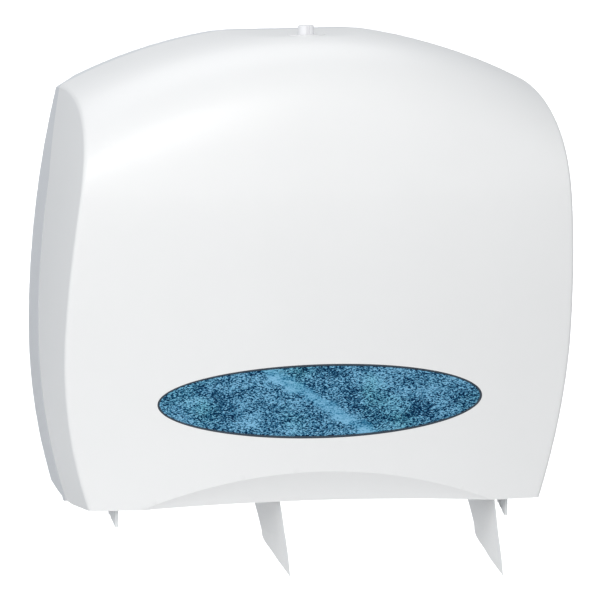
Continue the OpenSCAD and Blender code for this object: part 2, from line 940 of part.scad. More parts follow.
module hinge_arm_screws() {
    color("silver")
    for (s = [0, 1])
        mirror([s, 0, 0])
            at_arm_screws()
                rotate([0, 0, -90])
                    screw_y(arm_t + 6);
}

// ---- cover ----

// Solid inside the cover's outer surface
module cover_solid(inset, drop) {
    intersection() {
        dome_body(inset, drop);
        side_body(inset, drop);
        translate([-far * 1.5, -far, z(-2 * low_cut)])
            cube([3 * far, far, ledge_h - inset + 2 * low_cut]);
    }
}

// Blocks inside the side walls that the hinge arms are screwed to
module arm_pads() {
    for (s = [0, 1])
        mirror([s, 0, 0])
            difference() {
                translate([hinge_x + arm_t, -pad_to, z(pad_low)])
                    cube([hinge_in, pad_to - pad_from, pad_high - pad_low]);
                at_arm_screws()
                    rotate([0, 90, 0])
                        cylinder(r = screw_r + seat_gap, h = arm_t + 7, $fn = 24);
            }
}

module cover_shell() {
    color("white")
    difference() {
        intersection() {
            cover_solid(0, 0);
            cover_zone(seam);
            union() {
                difference() {
                    translate([-far * 1.5, -far, z(-low_cut)])
                        cube([3 * far, far, case_h + 2 * low_cut]);
                    difference() {
                        cover_solid(wall, low_cut);
                        scoop_space(wall);
                    }
                }
                arm_pads();
                bracket_boss();
            }
        }
        scoop_space();
        heel_cut();
        window_prism(0);
        translate([0, -button_y, z(ledge_inner_h - 2 * over)])
            cylinder(r = barrel_r + seat_gap, h = wall + 3 * over, $fn = mid);
        translate([0, -button_y, z(ledge_h - collar_sink)])
            cylinder(r = collar_d / 2 + seat_gap, h = 2 * over, $fn = mid);
        at_bracket_screws()
            translate([0, 0, -2 * over])
                cylinder(r = screw_r + seat_gap, h = wall - 0.6 + 2 * over, $fn = 24);
    }
}

// Thicker place under the ledge where the button's bracket is screwed on
module bracket_boss() {
    translate([-bracket_half, -button_y - bracket_deep, z(ledge_inner_h - boss_drop)])
        cube([2 * bracket_half, 2 * bracket_deep, wall]);
}

module window_lens() {
    color("steelblue")
    union() {
        window_slice(0.4, wall + 0.2, -window_gap);
        window_slice(wall + 0.2 - 0.01, wall + 0.2 + lens_t, flange_w);
    }
}

// Thin dark seal in the gap round the lens
module window_gasket() {
    color("darkslategray")
    difference() {
        window_slice(0.8, wall + 0.15, -0.02);
        window_prism(-window_gap + 0.02);
    }
}

// Smallest depth of the front over a patch of the clip at x, h, turned by n. The patch
// runs from in_r to out_r away from the lens's edge
function patch_depth(x, h, n, in_r, out_r, half) = min([
    for (r = [in_r, out_r], t = [-half, half])
        depth_at(x + r * cos(n) - t * sin(n), h + r * sin(n) + t * cos(n))
]);

// Clips that stand on the cover's inside and hold the lens's flange against it
module window_clips() {
    half = 4.5;
    reach = 4;
    foot_in = 1;
    leaf_t = 1.6;
    a_out = window_a + flange_w;
    b_out = window_b + flange_w;
    color("whitesmoke")
    for (a = [30, 90, 150, 210, 270, 330])
        let (
            x = a_out * cos(a),
            h = window_h + b_out * sin(a),
            n = atan2(sin(a) / b_out, cos(a) / a_out),
            leaf = patch_depth(x, h, n, -reach, reach, half) - wall - lens_t - 0.5,
            foot = patch_depth(x, h, n, foot_in, reach, half) - wall - 0.2
        )
        translate([x, 0, z(h)])
            rotate([0, -n, 0]) {
                translate([-reach, -leaf, -half])
                    cube([2 * reach, leaf_t, 2 * half]);
                translate([foot_in, -foot, -half])
                    cube([reach - foot_in, foot - leaf + leaf_t, 2 * half]);
            }
}

// ---- button ----

module at_bracket_screws() {
    for (p = [[bracket_screw_x, button_y], [catch_screw_x, catch_y - 6]], s = [-1, 1])
        translate([s * p[0], -p[1], z(ledge_inner_h)])
            children();
}

module button_collar() {
    color("white")
    translate([0, -button_y, 0])
        difference() {
            union() {
                translate([0, 0, z(ledge_h - collar_sink)])
                    cylinder(r = collar_d / 2, h = collar_t, $fn = fine);
                translate([0, 0, z(barrel_bottom)])
                    cylinder(r = barrel_r, h = ledge_h - barrel_bottom - collar_sink + over / 2, $fn = mid);
            }
            translate([0, 0, z(barrel_bottom - over)])
                cylinder(r = button_d / 2 + run_gap, h = ledge_h - barrel_bottom + 4 * over, $fn = mid);
        }
}

// Button whose head slides in the collar's barrel. A thinner stem carries the clip
module button() {
    top = ledge_h + button_up;
    r = button_d / 2;
    stem_r = stem_d / 2;
    color("white")
    translate([0, -button_y, 0])
        difference() {
            rotate_extrude($fn = mid)
                polygon([
                    [0, z(button_foot)], [stem_r - 0.6, z(button_foot)],
                    [stem_r, z(button_foot + 0.6)],
                    [stem_r, z(barrel_bottom - clip_t - 0.2)],
                    [stem_r - 0.6, z(barrel_bottom - clip_t - 0.2)],
                    [stem_r - 0.6, z(barrel_bottom - 0.1)], [r, z(barrel_bottom - 0.1)],
                    [r, z(top - 1)], [r - 0.3, z(top - 0.3)], [r - 1, z(top)], [0, z(top)]
                ]);
            translate([-groove_w / 2, -r - over, z(ledge_h + 0.6)])
                cube([groove_w, groove_deep + over, button_up + over]);
        }
}

// Spring clip in the stem's groove, which stops the button under the collar
module button_clip() {
    color("dimgray")
    translate([0, -button_y, z(barrel_bottom - clip_t - 0.15)])
        difference() {
            cylinder(r = clip_r, h = clip_t, $fn = mid);
            translate([0, 0, -over])
                cylinder(r = stem_d / 2 - 0.55, h = clip_t + 2 * over, $fn = mid);
            translate([-stem_d / 2 + 1.4, 0, -over])
                cube([stem_d - 2.8, clip_r + over, clip_t + 2 * over]);
        }
}

// Coil between the button's clip and the bracket's shelf
module button_spring() {
    low = shelf_top + spring_wire_r + 0.1;
    high = barrel_bottom - clip_t - 0.15 - spring_wire_r - 0.1;
    steps = 16;
    sides = 6;
    rings = round(steps * spring_turns);
    points = [
        for (i = [0 : rings])
            let (a = 360 * i / steps, h = low + (high - low) * i / rings)
            for (k = [0 : sides - 1])
                let (b = 360 * k / sides, r = spring_r + 0.2 + spring_wire_r * cos(b))
                [r * cos(a), -button_y + r * sin(a), z(h + spring_wire_r * sin(b))]
    ];
    skin = [
        for (i = [0 : rings - 1], k = [0 : sides - 1])
            let (m = (k + 1) % sides, a = i * sides + k, b = i * sides + m)
            each [[a, b, b + sides], [a, b + sides, a + sides]]
    ];
    color("silver")
    polyhedron(points, concat(
        skin,
        [[for (k = [sides - 1 : -1 : 0]) k], [for (k = [0 : sides - 1]) rings * sides + k]]
    ));
}

// U shaped bracket that holds the spring under the ledge
module button_bracket() {
    half = 10;
    low = shelf_top - shelf_t;
    top = ledge_inner_h - boss_drop;
    deep = 2 * bracket_deep;
    color("gainsboro")
    translate([0, -button_y, 0])
        difference() {
            union() {
                translate([-half - shelf_t, -bracket_deep, z(low)])
                    cube([2 * (half + shelf_t), deep, shelf_t]);
                for (s = [0, 1])
                    mirror([s, 0, 0]) {
                        translate([half, -bracket_deep, z(low)])
                            cube([shelf_t, deep, top - low]);
                        translate([half, -bracket_deep, z(top - shelf_t)])
                            cube([bracket_half - half - 0.5, deep, shelf_t]);
                    }
            }
            translate([0, 0, z(low - over)])
                cylinder(r = stem_d / 2 + 0.3, h = shelf_t + 2 * over, $fn = mid);
            for (s = [-1, 1])
                translate([s * bracket_screw_x, 0, z(top - shelf_t - over)])
                    cylinder(r = screw_r + seat_gap, h = shelf_t + 2 * over, $fn = 24);
        }
}

// Plate under the ledge that the tongue's barb hooks
module catch_plate() {
    half = 14;
    color("gainsboro")
    difference() {
        union() {
            translate([-half, -catch_y - catch_t, z(catch_bottom)])
                cube([2 * half, catch_t, ledge_inner_h - catch_bottom]);
            translate([-half, -catch_y, z(ledge_inner_h - 1.5)])
                cube([2 * half, 12, 1.5]);
        }
        for (s = [-1, 1])
            translate([s * catch_screw_x, -catch_y + 6, z(ledge_inner_h - 1.5 - over)])
                cylinder(r = screw_r + seat_gap, h = 1.5 + 2 * over, $fn = 24);
    }
}

module bracket_screws() {
    color("silver") {
        for (s = [-1, 1]) {
            translate([s * bracket_screw_x, -button_y, z(ledge_inner_h - boss_drop - shelf_t)])
                rotate([90, 0, 0])
                    screw_y(shelf_t + 3);
            translate([s * catch_screw_x, -catch_y + 6, z(ledge_inner_h - 1.5)])
                rotate([90, 0, 0])
                    screw_y(3.5);
        }
    }
}

back_plate();
latch_bracket();
latch_tongue();
latch_screws();
hinge_pin_left();
hinge_pin_right();
main_spindle();
stub_spindle();
spindle_screws();
main_retainer();
stub_retainer();
retainer_screws();
tear_bar_left();
tear_bar_middle();
tear_bar_right();
tear_bar_screws();
main_tail();
stub_tail();
cover_shell();
window_lens();
window_gasket();
window_clips();
hinge_arm_left();
hinge_arm_right();
hinge_arm_screws();
button_collar();
button_bracket();
catch_plate();
bracket_screws();
button_spring();
button();
button_clip();
main_hub();
main_core();
main_roll();
stub_hub();
stub_core();
stub_roll();
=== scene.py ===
"""Looks of the jumbo toilet roll dispenser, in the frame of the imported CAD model."""

import json
import math

import bmesh
import bpy
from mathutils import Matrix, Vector


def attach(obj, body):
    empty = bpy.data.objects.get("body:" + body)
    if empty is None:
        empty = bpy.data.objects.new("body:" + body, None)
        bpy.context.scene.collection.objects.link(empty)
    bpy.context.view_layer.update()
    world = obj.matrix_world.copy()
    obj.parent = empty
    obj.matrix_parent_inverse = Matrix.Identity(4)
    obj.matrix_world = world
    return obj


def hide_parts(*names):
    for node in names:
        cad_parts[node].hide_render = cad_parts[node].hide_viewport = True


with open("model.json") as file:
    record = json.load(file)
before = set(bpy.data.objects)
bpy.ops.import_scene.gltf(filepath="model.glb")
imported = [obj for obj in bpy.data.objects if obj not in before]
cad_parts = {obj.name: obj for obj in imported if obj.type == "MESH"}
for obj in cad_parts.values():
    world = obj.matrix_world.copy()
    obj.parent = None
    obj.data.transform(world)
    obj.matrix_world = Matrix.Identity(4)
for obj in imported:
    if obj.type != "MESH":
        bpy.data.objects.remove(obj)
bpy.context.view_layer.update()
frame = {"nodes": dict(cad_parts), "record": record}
nodes = frame["nodes"]

# Shapes are worked out in millimetres. As in the CAD, a height is above the cover's
# bottom edge and a depth is in front of the wall.
MM = 0.001
MOUNT_H = 180.0         # height of the frame's origin
WALL = 3.0              # thickness of the mouldings

# ---- shape of the housing ----

CASE_W = 406.0          # width at the wall, across the widest line
FRONT_W = 401.0         # width at the front
CASE_H = 363.0          # height of the dome
CASE_D = 146.0          # depth at the crest, in the middle
CREST_H = 246.0         # height of the crest
FOOT_D = 108.0          # depth at the bottom edge, in the middle
CREST_SOFT = 1.38       # shape of the front just below the crest
FOOT_SOFT = 1.94        # shape of the front near its foot
CROWN = 19.0            # how far the front falls back from the middle to a side
BELLY_H = 135.0         # height of the widest line
LOW_R = 422.0           # radius of the sides below the widest line
HIGH_R = 1008.0         # radius of the sides above it, at the front
REAR_HIGH_R = 771.0     # radius of the sides above it, at the wall
SIDE_PAST = 1.0         # how far a side's straight lines run past wall and crest
ARCH_R = 401.0          # radius of the arch over the top
DOME_SOFT = 4.0         # roundness of the dome in the middle, where 2 is an ellipse
SIDE_SOFT = 2.4         # roundness of the dome at the sides
CREASE_R = 2.6          # rounding between the front and a side
LEDGE_H = 359.5         # height of the flat ledge on the top
RIM_D = 29.0            # depth of the base's rim at the sides
RIM_TOP_D = 10.0        # depth of the base's rim at the top
RIM_SLOPE_H = 250.0     # height at which the rim reaches its side depth
SEAM = 0.5              # gap between cover and base
HEEL_RISE = 14.0        # rise of a side's bottom edge at the wall
HEEL_RUN = 48.0         # depth over which it rises
HEEL_R = (HEEL_RUN ** 2 + HEEL_RISE ** 2) / (2 * HEEL_RISE)

# ---- outlet, window and button ----

ARCH_HALF = 140.0       # half width of the arch
ARCH_RISE = 27.0        # its rise in the middle
LIP_IN = 9.0            # how far the scoop's lip lies behind the front
LIP_RISE = 4.0          # rise of the lip
SCOOP_HOLLOW = 0.4      # hollowness of the scoop, where 0 is a flat slope
WIN_H = 82.0            # height of the window's middle
WIN_A = 129.0           # half width of the window
WIN_B = 29.0            # half height of the window
RING_W = 1.7            # width of the seal round the lens
LENS_IN = 0.4           # how far the lens lies behind the cover's front
FLANGE_W = 6.0          # width of the lens's flange behind the wall
FLANGE_FROM = 3.2       # front and back of the flange, behind the cover's front
FLANGE_TO = 5.4
BUTTON_Y = 66.0         # depth of the button
BUTTON_HOLE_R = 9.25
COLLAR_SEAT_R = 14.55   # recess in the ledge that the collar lies in
COLLAR_SEAT = 1.2
SCREW_HOLE_R = 2.05     # blind screw holes under the ledge, and their heights
SCREW_HOLE_H = (354.0, 358.9)
LEDGE_SCREWS = ((18.0, BUTTON_Y), (9.0, 46.0))      # x and depth, on both sides
BOSS_HALF = 23.0        # boss under the ledge that the button's bracket is screwed to
BOSS_D = (60.0, 72.0)
BOSS_H = (355.1, 358.1)
PAD_X = (174.0, 215.0)  # pads inside the sides that the hinge arms are screwed to
PAD_D = (44.0, 76.0)
PAD_H = (5.0, 34.0)

# ---- rolls and hanging paper ----

ROLLS = {               # x and height of the axis, and the radius that the paper leaves at
    "main_roll": (-78.0, 150.0, 108.5),
    "stub_roll": (90.0, 190.0, 52.5),
}
PAPER_BACK = 8.5        # depth of a hanging paper's rear edge
PAPER_W = 85.0
PAPER_HALF_T = 0.12     # half its thickness
TO_EDGE = 24            # steps from the roll to the tear bar
DOWN = 4                # steps from there to where the paper is free
FREE = 34               # steps of the free end
ACROSS = 60             # steps across the paper
SWAY = 8.0              # how far the free end leans to the right
TWIST = 3.6             # how much more its rear edge leans
STRAIGHT_TO = 1.5       # height at which the paper is free


def sag(r, x):
    """How far a circle of radius r has dropped at x from its top."""
    return r - math.sqrt(max(r * r - x * x, 0.0))


def rear_half(h):
    return CASE_W / 2 - sag(LOW_R if h < BELLY_H else REAR_HIGH_R, h - BELLY_H)


def front_half(h):
    return FRONT_W / 2 - sag(LOW_R if h < BELLY_H else HIGH_R, h - BELLY_H)


def half_at(h, d, inset):
    """Half width of the housing at a height and depth."""
    h = max(h, 0.0)
    t = (d + SIDE_PAST) / (CASE_D + 2 * SIDE_PAST)
    return rear_half(h) + (front_half(h) - rear_half(h)) * t - inset


def apex(x):
    """Height of the arch over the top."""
    return CASE_H - sag(ARCH_R, x)


def fall(x):
    """How far the front falls back at x."""
    return CROWN * (2 * x / FRONT_W) ** 2


def soft(x):
    """Roundness of the dome at x."""
    return SIDE_SOFT + (DOME_SOFT - SIDE_SOFT) * max(0.0, 1 - (2 * x / FRONT_W) ** 2)


def depth_at(x, h):
    """Depth of the front below the crest."""
    u = min(1.0, (CREST_H - max(h, 0.0)) / CREST_H)
    return FOOT_D + (CASE_D - FOOT_D) * (1 - u ** CREST_SOFT) ** FOOT_SOFT - fall(x)


def heel_h(y):
    return sag(HEEL_R, HEEL_RUN - y) if y < HEEL_RUN else 0.0


def place(x, d, h):
    """Row frame point, in metres, of x, depth and height in millimetres."""
    return (x * MM, -d * MM, (h - MOUNT_H) * MM)


# ---- meshes ----

def new_object(name, points, faces):
    mesh = bpy.data.meshes.new(name)
    mesh.from_pydata(points, [], faces)
    mesh.update()
    obj = bpy.data.objects.new(name, mesh)
    bpy.context.scene.collection.objects.link(obj)
    return obj


def outward(obj):
    """Turns all faces of a closed piece outward."""
    work = bmesh.new()
    work.from_mesh(obj.data)
    bmesh.ops.recalc_face_normals(work, faces=work.faces)
    if work.calc_volume(signed=True) < 0:
        bmesh.ops.reverse_faces(work, faces=work.faces)
    work.to_mesh(obj.data)
    work.free()
    obj.data.update()
    return obj


def smooth(obj, angle=32.0):
    """Smooth shading, with edges sharper than angle kept."""
    obj.data.polygons.foreach_set("use_smooth", [True] * len(obj.data.polygons))
    obj.data.set_sharp_from_angle(angle=math.radians(angle))
    return obj


def apply_modifiers(obj):
    graph = bpy.context.evaluated_depsgraph_get()
    mesh = bpy.data.meshes.new_from_object(obj.evaluated_get(graph), depsgraph=graph)
    old = obj.data
    obj.modifiers.clear()
    obj.data = mesh
    mesh.name = obj.name
    bpy.data.meshes.remove(old)
    return obj


def cut(obj, tool):
    """Takes tool away from obj and deletes it."""
    change = obj.modifiers.new("cut", "BOOLEAN")
    change.operation = "DIFFERENCE"
    change.solver = "MANIFOLD"
    change.object = tool
    bpy.context.view_layer.update()
    apply_modifiers(obj)
    mesh = tool.data
    bpy.data.objects.remove(tool)
    bpy.data.meshes.remove(mesh)
    return obj


def housing(name, inset, drop, n_across, n_low, n_top):
    """Closed solid behind the crowned front, under the dome and between the side walls.
    Also gives the edges of the creases between the front and the sides."""
    # a low row has a height, and a top row an angle over the dome
    rows = []
    if drop > 0:
        rows.append(("low", -drop))
    rows += [("low", CREST_H * k / n_low) for k in range(n_low)]
    rows += [("top", 90.0 * (k / n_top)) for k in range(n_top + 1)]
    first_half, first_d, first_h, settle_rounds = 190.0, 100.0, 100.0, 8

    def point(kind, value, t):
        """Point at t, from -1 to 1 across a row. Its x and its depth depend on each
        other, so they are settled in a few rounds."""
        x, d, h = t * first_half, first_d, first_h
        for _ in range(settle_rounds):
            if kind == "low":
                h = value
                d = depth_at(x, h) - inset
            else:
                p = 2 / soft(x)
                a = math.radians(value)
                d = (CASE_D - fall(x) - inset) * max(math.cos(a), 0.0) ** p
                if value >= 90.0:
                    d = 0.0
                h = CREST_H + (apex(x) - inset - CREST_H) * math.sin(a) ** p
            x = t * half_at(h, d, inset)
        return x, d, h

    points = []
    grid = []
    for kind, value in rows:
        line = []
        for i in range(n_across + 1):
            line.append(len(points))
            points.append(point(kind, value, 2 * i / n_across - 1))
        grid.append(line)
    rear = []
    for line in grid[:-1]:
        pair = []
        for end, side in ((line[0], -1), (line[-1], 1)):
            h = points[end][2]
            pair.append(len(points))
            points.append((side * half_at(h, 0.0, inset), 0.0, h))
        rear.append(pair)
    rear.append([grid[-1][0], grid[-1][-1]])
    faces = []
    creases = set()
    for j in range(len(grid) - 1):
        a, b = grid[j], grid[j + 1]
        for i in range(n_across):
            faces.append((a[i], a[i + 1], b[i + 1], b[i]))
        for k, end in ((0, 0), (1, -1)):
            quad = [rear[j][k], a[end], b[end], rear[j + 1][k]]
            quad = [v for n, v in enumerate(quad) if v not in quad[:n]]
            faces.append(tuple(quad if k == 0 else quad[::-1]))
            creases.add(frozenset((a[end], b[end])))
    faces.append(tuple([rear[0][0], rear[0][1]] + grid[0][::-1]))
    right = [pair[1] for pair in rear[:-1]]
    left = [pair[0] for pair in rear[-2::-1]]
    faces.append(tuple(right + grid[-1][::-1] + left))
    obj = new_object(name, [place(*p) for p in points], faces)
    outward(obj)
    return obj, creases


def prism(outline, low, high, axis):
    """Closed prism to cut with. For axis "y" the outline is (x, h) and low and high are
    depths; for axis "x" it is (depth, h), and for "z" it is (x, depth) with heights."""
    n = len(outline)
    points = []
    for level in (low, high):
        for a, b in outline:
            if axis == "y":
                points.append(place(a, level, b))
            elif axis == "x":
                points.append(place(level, a, b))
            else:
                points.append(place(a, b, level))
    faces = [tuple(range(n - 1, -1, -1)), tuple(range(n, 2 * n))]
    faces += [(k, (k + 1) % n, (k + 1) % n + n, k + n) for k in range(n)]
    return outward(new_object("tool", points, faces))


def rectangle(low_a, high_a, low_b, high_b):
    return [(low_a, low_b), (high_a, low_b), (high_a, high_b), (low_a, high_b)]


def ellipse(a, b, n=160):
    """Outline of an oval about the window's middle."""
    return [
        (a * math.cos(2 * math.pi * k / n), WIN_H + b * math.sin(2 * math.pi * k / n))
        for k in range(n)
    ]


def circle(cx, cy, r, n=64):
    return [
        (cx + r * math.cos(2 * math.pi * k / n), cy + r * math.sin(2 * math.pi * k / n))
        for k in range(n)
    ]


def scoop(thick):
    """Space in front of the lip and under the arch, grown by thick. The grown one keeps
    the inside off the scoop, and the plain one cuts the outside and its wall."""
    steps, bends = 72, 14
    past_end, low, behind_lip, past_wall = 12.0, -30.0, 0.5, 2.0
    half = ARCH_HALF + past_end
    under = 0.0 if thick > 0 else WALL + past_wall
    points = []
    for i in range(steps + 1):
        x = -half + 2 * half * i / steps
        s = 1 - (x / ARCH_HALF) ** 2
        lip = depth_at(x, ARCH_RISE * max(s, 0)) - LIP_IN * s - thick
        foot = LIP_RISE * s
        run = LIP_IN * max(s, 0.05)
        rise = (ARCH_RISE - LIP_RISE) * s + thick
        rear = lip - under - behind_lip
        line = [(rear, low), (rear, foot - thick), (lip, foot)]
        for k in range(1, bends + 1):
            t = k / bends
            line.append((lip + run * t * (1 - SCOOP_HOLLOW * (1 - t)), foot + rise * t))
        line += [(CASE_D + 1, foot + rise), (CASE_D + 1, low)]
        points += [place(x, d, h) for d, h in line]
    rows = bends + 5
    faces = []
    for i in range(steps):
        for j in range(rows):
            a, b = i * rows + j, i * rows + (j + 1) % rows
            faces.append((a, b, b + rows, a + rows))
    faces += [tuple(range(rows - 1, -1, -1)), tuple(range(steps * rows, (steps + 1) * rows))]
    return outward(new_object("tool", points, faces))


# ---- cover ----

def above(level):
    """Space above a level, past the cover on every side."""
    beside, behind, before, top = 230, -20, 170, 400
    return prism(rectangle(-beside, beside, behind, before), level, top, "z")


def cover_inside():
    """Space inside the cover. The pads and the boss that pieces are screwed to are left
    out of it, so they stay solid."""
    below = 14.0
    inner, _ = housing("inner", WALL, below, 48, 28, 24)
    cut(inner, above(LEDGE_H - WALL))
    cut(inner, scoop(WALL))
    for side in (-1, 1):
        cut(inner, prism(rectangle(side * PAD_X[0], side * PAD_X[1], *PAD_D), *PAD_H, "z"))
    cut(inner, prism(rectangle(-BOSS_HALF, BOSS_HALF, *BOSS_D), *BOSS_H, "z"))
    return inner


def make_cover():
    cover, creases = housing("cover_smooth", 0.0, 0.0, 88, 56, 46)
    weights = cover.data.attributes.new("bevel_weight_edge", "FLOAT", "EDGE")
    for edge in cover.data.edges:
        if frozenset(edge.vertices) in creases:
            weights.data[edge.index].value = 1.0
    rounding = cover.modifiers.new("round", "BEVEL")
    rounding.limit_method = "WEIGHT"
    rounding.width = CREASE_R * MM
    rounding.segments = 4
    rounding.use_clamp_overlap = False
    bpy.context.view_layer.update()
    apply_modifiers(cover)

    cut(cover, above(LEDGE_H))
    cut(cover, cover_inside())
    cut(cover, scoop(0.0))

    # these cuts run past what they cut
    behind, below, over, beside = -10.0, -60.0, 380.0, 260.0
    through_front, through_ledge, heel_steps = (60, 200), (350, 370), 14
    back, top_back = RIM_D + SEAM, RIM_TOP_D + SEAM
    slope_top = apex(FRONT_W / 2 - 20)
    rim = [(behind, below), (back, below), (back, RIM_SLOPE_H), (top_back, slope_top),
           (top_back, over), (behind, over)]
    cut(cover, prism(rim, -beside, beside, "x"))
    heel = [HEEL_RUN * k / heel_steps for k in range(heel_steps + 1)]
    heel = [(y, heel_h(y)) for y in heel]
    heel += [(HEEL_RUN, -40), (-1, -40), (-1, HEEL_RISE)]
    cut(cover, prism(heel, -beside, beside, "x"))
    cut(cover, prism(ellipse(WIN_A, WIN_B), *through_front, "y"))
    cut(cover, prism(circle(0, BUTTON_Y, BUTTON_HOLE_R), *through_ledge, "z"))
    seat = circle(0, BUTTON_Y, COLLAR_SEAT_R)
    cut(cover, prism(seat, LEDGE_H - COLLAR_SEAT, through_ledge[1], "z"))
    for x, y in LEDGE_SCREWS:
        for side in (-1, 1):
            cut(cover, prism(circle(side * x, y, SCREW_HOLE_R, 20), *SCREW_HOLE_H, "z"))
    return smooth(cover)


# ---- window ----

def crowned_ring(a, b, inset, n):
    """Points of an oval that lies inset behind the cover's front."""
    ring = []
    for k in range(n):
        x = a * math.cos(2 * math.pi * k / n)
        h = WIN_H + b * math.sin(2 * math.pi * k / n)
        ring.append(place(x, depth_at(x, h) - inset, h))
    return ring


def strips(first, second, n):
    """Faces between two rings of n points that start at first and second."""
    return [
        (first + k, first + (k + 1) % n, second + (k + 1) % n, second + k)
        for k in range(n)
    ]


def make_lens():
    """Crowned pane with a flange behind the cover's wall."""
    n = 176
    a, b = WIN_A - RING_W, WIN_B - RING_W
    out_a, out_b = WIN_A + FLANGE_W, WIN_B + FLANGE_W
    # half width, half height and inset, from the front's middle over the edge to the back
    levels = [(a * k / 18, b * k / 18, LENS_IN) for k in range(1, 18)]
    levels += [(a - 0.7, b - 0.7, LENS_IN), (a - 0.25, b - 0.25, 0.52), (a, b, 0.85)]
    levels += [(a, b, FLANGE_FROM), (out_a, out_b, FLANGE_FROM), (out_a, out_b, FLANGE_TO)]
    levels += [(WIN_A * k / 8, WIN_B * k / 8, FLANGE_TO) for k in range(8, 0, -1)]
    points, faces, rings = [], [], []
    for level in levels:
        rings.append(len(points))
        points += crowned_ring(*level, n)
    for first, second in zip(rings, rings[1:]):
        faces += strips(first, second, n)
    for ring, inset in ((rings[0], LENS_IN), (rings[-1], FLANGE_TO)):
        middle = len(points)
        points.append(place(0, depth_at(0, WIN_H) - inset, WIN_H))
        faces += [(middle, ring + k, ring + (k + 1) % n) for k in range(n)]
    return smooth(outward(new_object("window_smooth", points, faces)), 40)


def make_gasket():
    """Ring in the gap round the lens, with a rounded front edge."""
    n, gap = 176, 0.02
    low_a, high_a = WIN_A - RING_W + gap, WIN_A - gap
    low_b, high_b = WIN_B - RING_W + gap, WIN_B - gap
    # place across the ring and inset behind the cover's front
    profile = [
        (0.0, 3.1), (0.0, 0.6), (0.25, 0.38), (0.5, 0.35), (0.75, 0.38), (1.0, 0.6), (1.0, 3.1),
    ]
    points, faces = [], []
    for t, inset in profile:
        points += crowned_ring(
            low_a + (high_a - low_a) * t, low_b + (high_b - low_b) * t, inset, n)
    m = len(profile)
    for r in range(m):
        faces += strips(r * n, ((r + 1) % m) * n, n)
    return smooth(outward(new_object("gasket_smooth", points, faces)), 60)


# ---- hanging paper ----

def route_points(cx, ch, r, x, edge_h, drop):
    """Middle line of a hanging paper, as x and height: straight from the roll to the
    tear bar, down past it, and leaning aside at its free end."""
    dx, dh = x - cx, edge_h - ch
    a = math.atan2(dh, dx) + math.acos(r / math.hypot(dx, dh))
    start_x, start_h = cx + r * math.cos(a), ch + r * math.sin(a)
    line = [
        (start_x + (x - start_x) * k / TO_EDGE, start_h + (edge_h - start_h) * k / TO_EDGE)
        for k in range(TO_EDGE)
    ]
    line += [(x, edge_h + (STRAIGHT_TO - edge_h) * k / DOWN) for k in range(DOWN + 1)]
    for k in range(1, FREE + 1):
        t = k / FREE
        line.append((x + SWAY * t ** 0.86, STRAIGHT_TO - (STRAIGHT_TO + drop) * t))
    return line


def tear_h(t, drop, rise):
    """Height of the torn end, where t runs from 0 at the rear edge to 1 at the front."""
    ragged = 0.35 * math.sin(61 * t + 1.3) + 0.25 * math.sin(143 * t)
    ragged += 0.15 * math.sin(291 * t + 0.6)
    corner = 2.2 * max(0.0, 1 - t / 0.16) ** 2
    return -drop + rise * (1 - t) ** 1.12 + corner + ragged


def point_along(line, lengths, s):
    """Point of the middle line at length s from its start."""
    m = max(j for j in range(len(line) - 1) if lengths[j] <= s + 1e-9)
    f = (s - lengths[m]) / (lengths[m + 1] - lengths[m])
    return (line[m][0] + (line[m + 1][0] - line[m][0]) * f,
            line[m][1] + (line[m + 1][1] - line[m][1]) * f)


def tail_column(line, lengths, t, drop, rise, seed):
    """Points down the paper at t across it, ending at the tear."""
    end_h = tear_h(t, drop, rise)
    last = len(line) - 1
    if end_h > line[-1][1]:
        last = next(k for k, p in enumerate(line) if p[1] <= end_h)
    share = (line[last - 1][1] - end_h) / (line[last - 1][1] - line[last][1])
    stop = min(lengths[last - 1] + (lengths[last] - lengths[last - 1]) * share, lengths[-1])
    straight = lengths[TO_EDGE + DOWN]
    column = []
    for s in lengths:
        if s > straight:
            s = straight + (stop - straight) * (s - straight) / (lengths[-1] - straight)
        px, ph = point_along(line, lengths, s)
        free = min(1.0, max(0.0, (s - straight) / 30.0))
        wave = 0.22 * math.sin(9 * t + 0.12 * s + seed)
        px += free * (0.5 * math.sin(2.6 * t + seed) * free + wave)
        px += TWIST * (1 - t) * free
        column.append((px, ph))
    return column


def make_tail(name, roll, x, edge_h, drop, rise, seed):
    """A sheet of paper with two faces that ends in a slanted tear. Gives the piece, its
    length and its area."""
    line = route_points(*roll, x, edge_h, drop)
    lengths = [0.0]
    for p, q in zip(line, line[1:]):
        lengths.append(lengths[-1] + math.hypot(q[0] - p[0], q[1] - p[1]))
    grid = [
        tail_column(line, lengths, i / ACROSS, drop, rise, seed) for i in range(ACROSS + 1)
    ]
    n = len(line)
    area = 0.0
    for column in grid[:-1]:
        for p, q in zip(column, column[1:]):
            area += math.hypot(q[0] - p[0], q[1] - p[1]) * PAPER_W / ACROSS
    points = []
    for side in (-1, 1):
        for i, column in enumerate(grid):
            for k, (px, ph) in enumerate(column):
                before, after = column[max(k - 1, 0)], column[min(k + 1, n - 1)]
                tx, th = after[0] - before[0], after[1] - before[1]
                size = math.hypot(tx, th)
                points.append(place(
                    px - side * PAPER_HALF_T * th / size,
                    PAPER_BACK + PAPER_W * i / ACROSS,
                    ph + side * PAPER_HALF_T * tx / size))
    # the two faces, and then the paper's four edges
    faces = []
    half = (ACROSS + 1) * n
    for i in range(ACROSS):
        for k in range(n - 1):
            a = i * n + k
            faces.append((a, a + 1, a + n + 1, a + n))
            faces.append((half + a, half + a + n, half + a + n + 1, half + a + 1))
    for k in range(n - 1):
        faces.append((k, half + k, half + k + 1, k + 1))
        a = ACROSS * n + k
        faces.append((a, a + 1, half + a + 1, half + a))
    for i in range(ACROSS):
        a = i * n
        faces.append((a, a + n, half + a + n, half + a))
        a = i * n + n - 1
        faces.append((a, half + a, half + a + n, a + n))
    return smooth(outward(new_object(name, points, faces)), 60), lengths[-1], area


# ---- materials ----

